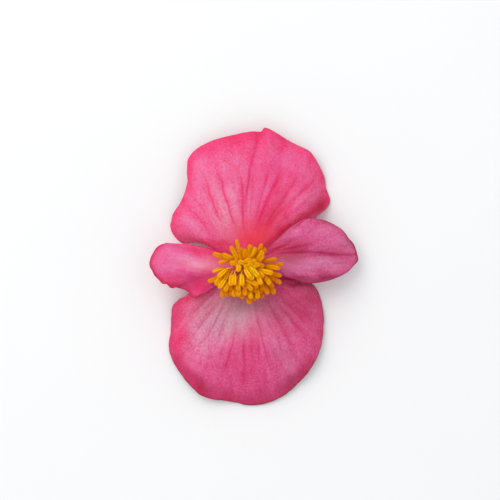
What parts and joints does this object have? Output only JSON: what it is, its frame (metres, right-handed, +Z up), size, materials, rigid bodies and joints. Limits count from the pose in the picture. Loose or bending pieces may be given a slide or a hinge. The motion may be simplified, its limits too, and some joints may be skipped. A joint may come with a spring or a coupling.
{
  "type": "begonia flower",
  "caption": "Male begonia bloom lying face up: broad pink outer tepals above and below, narrow inner tepals at the sides, and a dense head of yellow stamens.",
  "frame": {"origin": "centre of the cut end of the flower stalk, on the surface that the bloom lies on", "axes": "+Z up along the axis of the bloom, out of its face; +Y towards the middle of the upper tepal; +X towards the right tepal"},
  "size_m": [0.0412, 0.0553, 0.0129],
  "materials": {
    "outer_tepal": "satin",
    "lower_tepal": "satin",
    "inner_tepal": "satin",
    "stamens": "satin",
    "stalk": "satin"
  },
  "bodies": {
    "root": {"upper_tepal": "outer_tepal", "lower_tepal": "lower_tepal", "left_tepal": "inner_tepal", "right_tepal": "inner_tepal", "stamen_head": "stamens", "flower_stalk": "stalk"}
  },
  "joints": []
}
